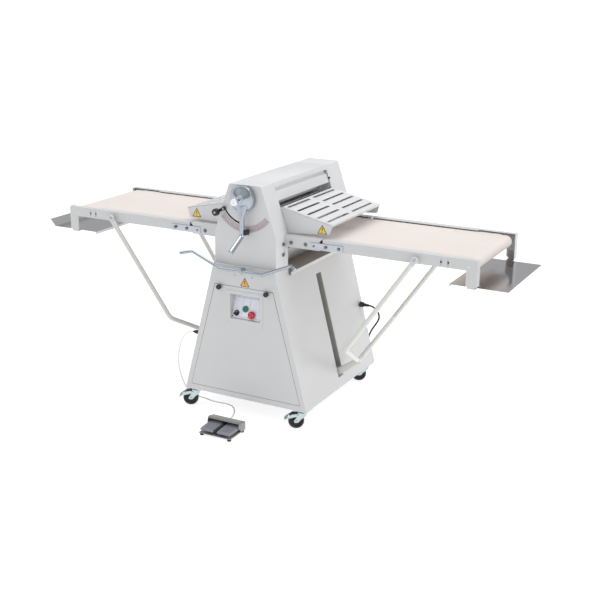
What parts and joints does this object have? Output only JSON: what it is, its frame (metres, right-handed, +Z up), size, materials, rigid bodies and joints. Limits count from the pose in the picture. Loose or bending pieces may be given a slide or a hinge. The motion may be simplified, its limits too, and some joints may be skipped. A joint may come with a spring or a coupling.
{
  "type": "dough sheeter",
  "caption": "Floor-standing reversible dough sheeter: tapered cabinet on casters, roller head with gap crank and guards, and folding belt tables on struts.",
  "frame": {"origin": "on the floor, under the middle of the machine with its foot switch", "axes": "+X along the tables to the operator's right, +Y away from the operator, +Z up"},
  "size_m": [2.635, 1.311, 1.2],
  "materials": {
    "cabinet_paint": "semi-gloss powder coat",
    "head_paint": "semi-gloss powder coat",
    "table_paint": "semi-gloss powder coat",
    "strut_paint": "semi-gloss powder coat",
    "belt": "food-grade woven polyester belt, coated",
    "tray_steel": "brushed stainless",
    "pan_steel": "bright stainless sheet",
    "roller_chrome": "hard chrome, ground",
    "crank_chrome": "polished chrome",
    "roller_aluminium": "turned",
    "zinc": "bright zinc plate",
    "motor_paint": "grey enamel",
    "chain_steel": "oiled roller chain",
    "black_plastic": "moulded",
    "start_green": "moulded",
    "stop_red": "moulded",
    "scale_print": "satin enamel",
    "black_cable": "matt sheath",
    "white_cable": "smooth sheath",
    "pedal_grey": "fine textured",
    "hood_paint": "hammered enamel",
    "caster_tyre": "hard rubber"
  },
  "bodies": {
    "machine": {"cabinet_shell": "cabinet_paint", "crumb_tray": "tray_steel", "front_housing": "head_paint", "rear_housing": "head_paint", "side_frames": "head_paint", "head_top_cover": "head_paint", "lower_aprons": "head_paint", "drive_motor": "motor_paint", "drive_chain": "chain_steel", "scale_plate": "scale_print", "table_brackets": "table_paint", "inner_belts": "belt", "zinc_fixings": "zinc", "cable_glands": "black_plastic", "power_cord": "black_cable", "power_coil": "black_cable", "power_plug": "black_plastic", "pedal_cord": "white_cable", "foot_switch_body": "hood_paint", "foot_switch_hood": "hood_paint"},
    "lower_roller": {"lower_roller": "roller_chrome"},
    "upper_roller_carriage": {"upper_roller_carriage": "head_paint"},
    "upper_roller": {"upper_roller": "roller_chrome"},
    "gap_crank": {"gap_crank": "crank_chrome"},
    "gap_limit_lever": {"gap_limit_lever": "black_plastic"},
    "direction_lever": {"direction_lever": "crank_chrome"},
    "left_drive_roller": {"left_drive_roller": "roller_aluminium"},
    "right_drive_roller": {"right_drive_roller": "roller_aluminium"},
    "left_table": {"left_table_frame": "table_paint", "left_end_brackets": "table_paint", "left_belt": "belt", "left_catch_pan": "pan_steel"},
    "left_tail_roller": {"left_tail_roller": "roller_aluminium"},
    "left_strut": {"left_strut": "strut_paint"},
    "left_guard": {"left_guard": "head_paint"},
    "right_table": {"right_table_frame": "table_paint", "right_end_brackets": "table_paint", "right_belt": "belt", "right_catch_pan": "pan_steel"},
    "right_tail_roller": {"right_tail_roller": "roller_aluminium"},
    "right_strut": {"right_strut": "strut_paint"},
    "right_guard": {"right_guard": "head_paint"},
    "door": {"access_door": "cabinet_paint", "control_box": "cabinet_paint", "door_knobs": "black_plastic"},
    "start_button": {"start_button": "start_green"},
    "stop_button": {"stop_button": "stop_red"},
    "selector_switch": {"selector_switch": "black_plastic"},
    "left_pedal": {"left_pedal": "pedal_grey"},
    "right_pedal": {"right_pedal": "pedal_grey"},
    "front_left_fork": {"front_left_fork": "zinc"},
    "front_left_wheel": {"front_left_wheel": "caster_tyre"},
    "front_right_fork": {"front_right_fork": "zinc"},
    "front_right_wheel": {"front_right_wheel": "caster_tyre"},
    "rear_left_fork": {"rear_left_fork": "zinc"},
    "rear_left_wheel": {"rear_left_wheel": "caster_tyre"},
    "rear_right_fork": {"rear_right_fork": "zinc"},
    "rear_right_wheel": {"rear_right_wheel": "caster_tyre"},
    "front_left_brake_lever": {"front_left_brake_lever": "zinc"},
    "front_right_brake_lever": {"front_right_brake_lever": "zinc"}
  },
  "joints": [
    {"name": "lower_roller_spin", "type": "hinge", "parent": "machine", "child": "lower_roller", "pos_m": [0, 0.1225, 0.906], "axis": [0, 1, 0], "continuous": true},
    {"name": "roller_gap", "type": "slide", "parent": "machine", "child": "upper_roller_carriage", "axis": [0, 0, 1], "range_m": [-0.016, 0.016]},
    {"name": "upper_roller_spin", "type": "hinge", "parent": "upper_roller_carriage", "child": "upper_roller", "pos_m": [0, 0.1225, 1.014], "axis": [0, 1, 0], "continuous": true},
    {"name": "gap_crank_turn", "type": "hinge", "parent": "machine", "child": "gap_crank", "pos_m": [0, 0.1225, 1.135], "axis": [0, -1, 0], "range_deg": [-45, 45]},
    {"name": "gap_stop_set", "type": "hinge", "parent": "machine", "child": "gap_limit_lever", "pos_m": [0, 0.1225, 1.135], "axis": [0, -1, 0], "range_deg": [0, 44]},
    {"name": "direction_lever_tilt", "type": "hinge", "parent": "machine", "child": "direction_lever", "pos_m": [0, 0.1225, 0.78], "axis": [0, -1, 0], "range_deg": [-12, 12]},
    {"name": "left_drive_roller_spin", "type": "hinge", "parent": "machine", "child": "left_drive_roller", "pos_m": [-0.075, 0.1225, 0.925], "axis": [0, 1, 0], "continuous": true},
    {"name": "left_table_fold", "type": "hinge", "parent": "machine", "child": "left_table", "pos_m": [-0.394, 0.1225, 0.922], "axis": [0, 1, 0], "range_deg": [0, 46]},
    {"name": "left_tail_roller_spin", "type": "hinge", "parent": "left_table", "child": "left_tail_roller", "pos_m": [-1.102, 0.1225, 0.92], "axis": [0, 1, 0], "continuous": true},
    {"name": "left_strut_swing", "type": "hinge", "parent": "left_table", "child": "left_strut", "pos_m": [-0.855, 0.1225, 0.924], "axis": [0, 1, 0], "range_deg": [-41, 0]},
    {"name": "left_guard_lift", "type": "hinge", "parent": "machine", "child": "left_guard", "pos_m": [-0.122, 0.1225, 1.074], "axis": [0, 1, 0], "range_deg": [0, 60]},
    {"name": "right_drive_roller_spin", "type": "hinge", "parent": "machine", "child": "right_drive_roller", "pos_m": [0.075, 0.1225, 0.925], "axis": [0, 1, 0], "continuous": true},
    {"name": "right_table_fold", "type": "hinge", "parent": "machine", "child": "right_table", "pos_m": [0.394, 0.1225, 0.922], "axis": [0, -1, 0], "range_deg": [0, 46]},
    {"name": "right_tail_roller_spin", "type": "hinge", "parent": "right_table", "child": "right_tail_roller", "pos_m": [1.102, 0.1225, 0.92], "axis": [0, 1, 0], "continuous": true},
    {"name": "right_strut_swing", "type": "hinge", "parent": "right_table", "child": "right_strut", "pos_m": [0.855, 0.1225, 0.924], "axis": [0, -1, 0], "range_deg": [-41, 0]},
    {"name": "right_guard_lift", "type": "hinge", "parent": "machine", "child": "right_guard", "pos_m": [0.122, 0.1225, 1.074], "axis": [0, -1, 0], "range_deg": [0, 60]},
    {"name": "door_tilt", "type": "hinge", "parent": "machine", "child": "door", "pos_m": [0, -0.2795, 0.136], "axis": [1, 0, 0], "range_deg": [0, 35]},
    {"name": "start_press", "type": "slide", "parent": "door", "child": "start_button", "axis": [0, 0.9296, -0.3686], "range_m": [0, 0.004], "stiffness_N_per_m": 400, "springref_m": -0.004},
    {"name": "stop_press", "type": "slide", "parent": "door", "child": "stop_button", "axis": [0, 0.9296, -0.3686], "range_m": [0, 0.004], "stiffness_N_per_m": 600, "springref_m": -0.004},
    {"name": "selector_turn", "type": "hinge", "parent": "door", "child": "selector_switch", "pos_m": [-0.0505, -0.26414, 0.54961], "axis": [0, -0.9296, 0.3686], "range_deg": [-45, 45]},
    {"name": "front_left_swivel", "type": "hinge", "parent": "machine", "child": "front_left_fork", "pos_m": [-0.312, -0.2425, 0.09], "axis": [0, 0, 1], "continuous": true},
    {"name": "front_left_roll", "type": "hinge", "parent": "front_left_fork", "child": "front_left_wheel", "pos_m": [-0.34025, -0.25752, 0.04], "axis": [-0.4695, 0.8829, 0], "continuous": true},
    {"name": "front_right_swivel", "type": "hinge", "parent": "machine", "child": "front_right_fork", "pos_m": [0.312, -0.2425, 0.09], "axis": [0, 0, 1], "continuous": true},
    {"name": "front_right_roll", "type": "hinge", "parent": "front_right_fork", "child": "front_right_wheel", "pos_m": [0.28375, -0.25752, 0.04], "axis": [-0.4695, 0.8829, 0], "continuous": true},
    {"name": "rear_left_swivel", "type": "hinge", "parent": "machine", "child": "rear_left_fork", "pos_m": [-0.312, 0.4955, 0.09], "axis": [0, 0, 1], "continuous": true},
    {"name": "rear_left_roll", "type": "hinge", "parent": "rear_left_fork", "child": "rear_left_wheel", "pos_m": [-0.34025, 0.48048, 0.04], "axis": [-0.4695, 0.8829, 0], "continuous": true},
    {"name": "rear_right_swivel", "type": "hinge", "parent": "machine", "child": "rear_right_fork", "pos_m": [0.312, 0.4955, 0.09], "axis": [0, 0, 1], "continuous": true},
    {"name": "rear_right_roll", "type": "hinge", "parent": "rear_right_fork", "child": "rear_right_wheel", "pos_m": [0.28375, 0.48048, 0.04], "axis": [-0.4695, 0.8829, 0], "continuous": true},
    {"name": "front_left_brake_press", "type": "hinge", "parent": "front_left_fork", "child": "front_left_brake_lever", "pos_m": [-0.33496, -0.25471, 0.074], "axis": [0.4695, -0.8829, 0], "range_deg": [0, 8]},
    {"name": "front_right_brake_press", "type": "hinge", "parent": "front_right_fork", "child": "front_right_brake_lever", "pos_m": [0.28904, -0.25471, 0.074], "axis": [0.4695, -0.8829, 0], "range_deg": [0, 8]},
    {"name": "left_pedal_press", "type": "hinge", "parent": "machine", "child": "left_pedal", "pos_m": [-0.047, -0.4435, 0.03], "axis": [1, 0, 0], "range_deg": [0, 4.5], "stiffness_Nm_per_rad": 4, "springref_deg": -8.59},
    {"name": "right_pedal_press", "type": "hinge", "parent": "machine", "child": "right_pedal", "pos_m": [0.043, -0.4435, 0.03], "axis": [1, 0, 0], "range_deg": [0, 4.5], "stiffness_Nm_per_rad": 4, "springref_deg": -8.59}
  ],
  "couplings": [
    {"joint": "upper_roller_spin", "follows": "lower_roller_spin", "ratio": -1},
    {"joint": "gap_crank_turn", "follows": "roller_gap", "rad_per_m": 49},
    {"joint": "left_drive_roller_spin", "follows": "lower_roller_spin", "ratio": 1.76},
    {"joint": "left_tail_roller_spin", "follows": "lower_roller_spin", "ratio": 1.4667},
    {"joint": "left_strut_swing", "follows": "left_table_fold", "ratio": -0.87},
    {"joint": "right_drive_roller_spin", "follows": "lower_roller_spin", "ratio": 1.76},
    {"joint": "right_tail_roller_spin", "follows": "lower_roller_spin", "ratio": 1.4667},
    {"joint": "right_strut_swing", "follows": "right_table_fold", "ratio": -0.87}
  ]
}
